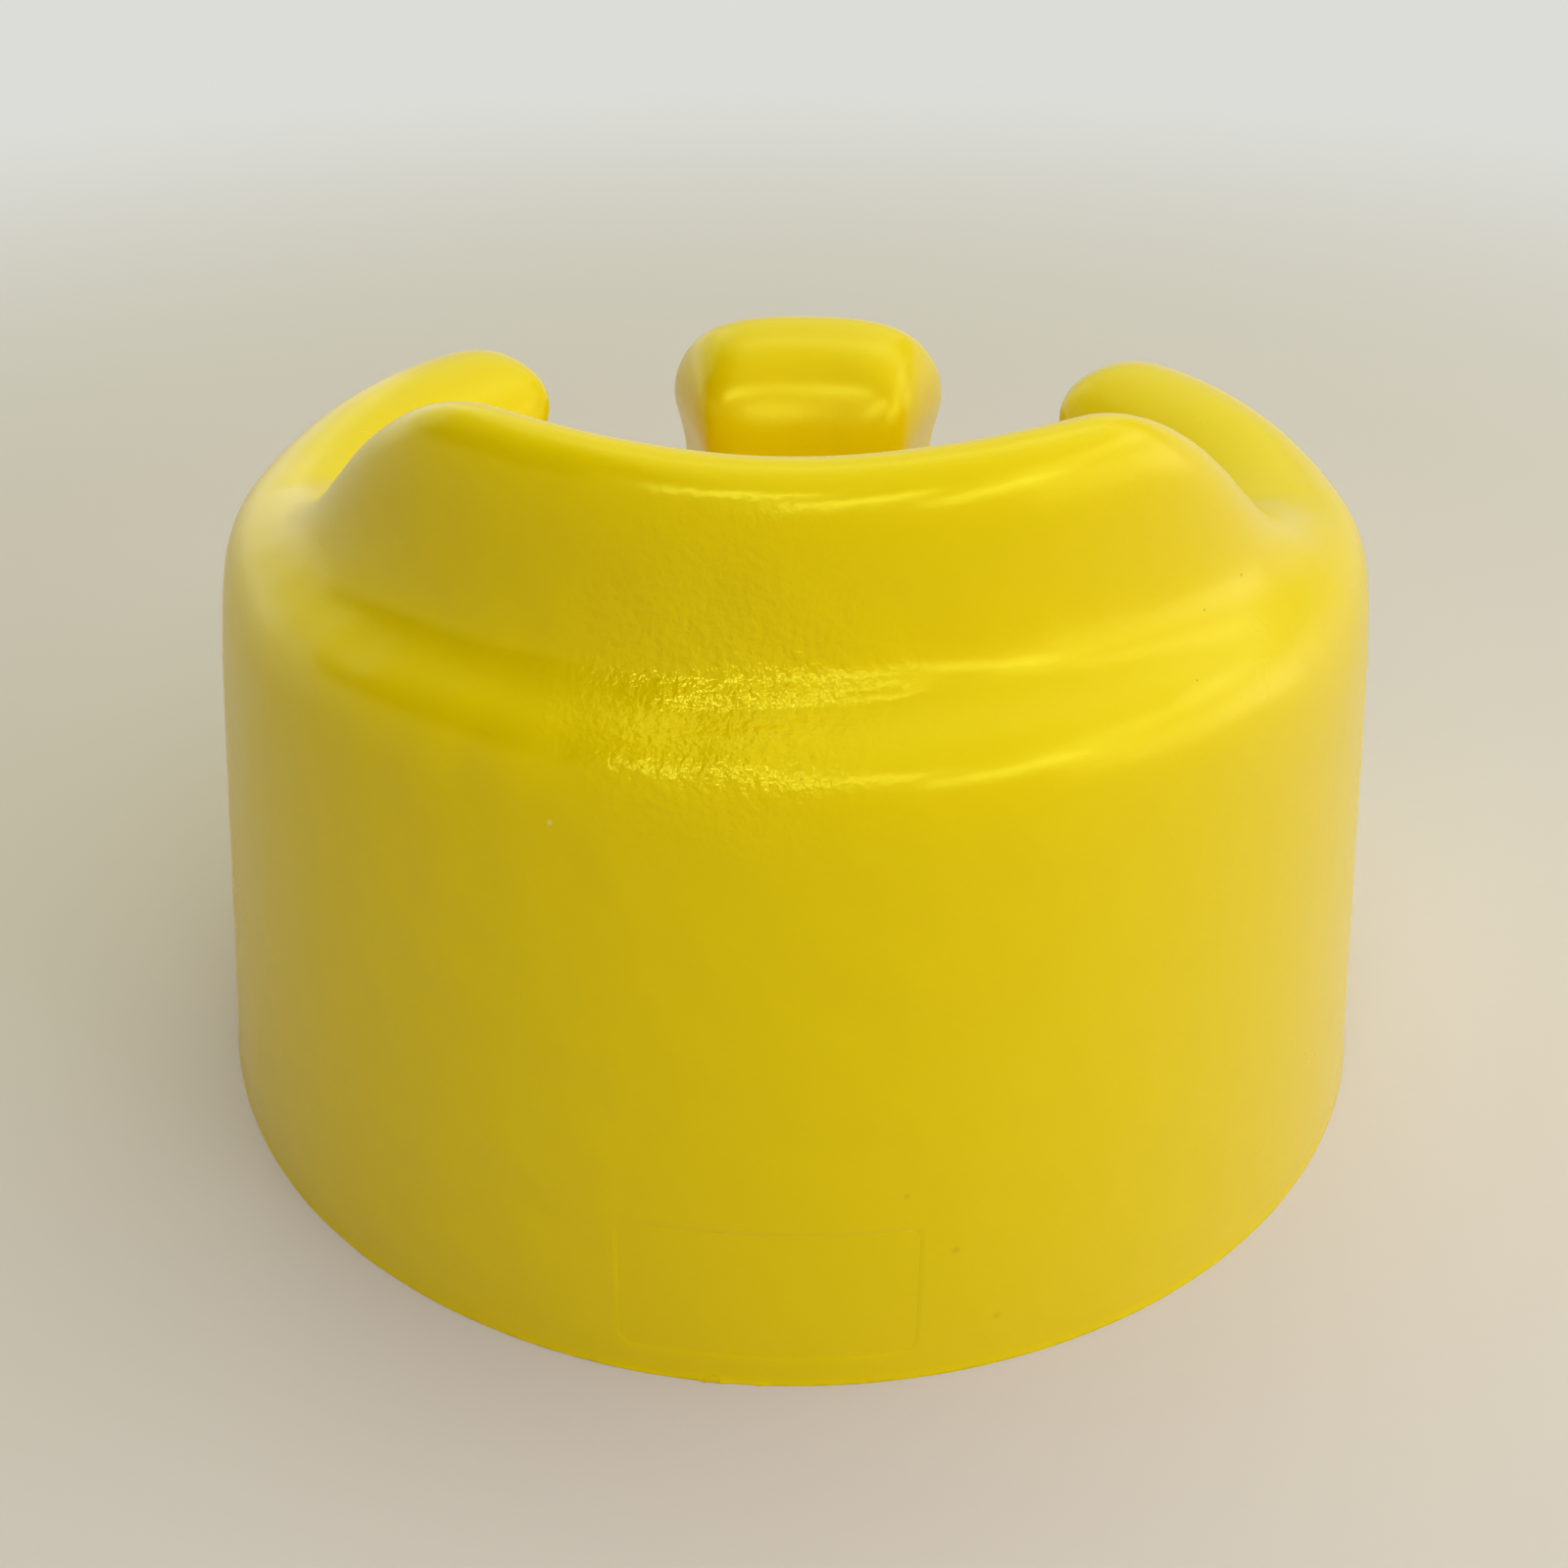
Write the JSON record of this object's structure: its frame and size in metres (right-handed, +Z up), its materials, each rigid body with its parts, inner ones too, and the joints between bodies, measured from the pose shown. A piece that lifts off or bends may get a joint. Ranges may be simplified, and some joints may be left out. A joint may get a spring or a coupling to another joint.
{
  "type": "baby floor seat",
  "caption": "One-piece moulded foam floor seat for a baby: round foot, wrap-round backrest, two curled arms, leg openings either side of a front pommel, satin yellow skin.",
  "frame": {"origin": "centre of the round foot, on the floor", "axes": "+Z up, -Y towards the front where the baby's legs come out, +Y towards the backrest, +X towards the baby's left"},
  "size_m": [0.3695, 0.3696, 0.2305],
  "materials": {
    "foam_core": "matte",
    "seat_skin": "satin",
    "base_skin": "satin",
    "rear_label": "satin"
  },
  "bodies": {
    "root": {"foam_core": "foam_core", "seat_skin": "seat_skin", "base_skin": "base_skin", "rear_label": "rear_label"}
  },
  "joints": []
}
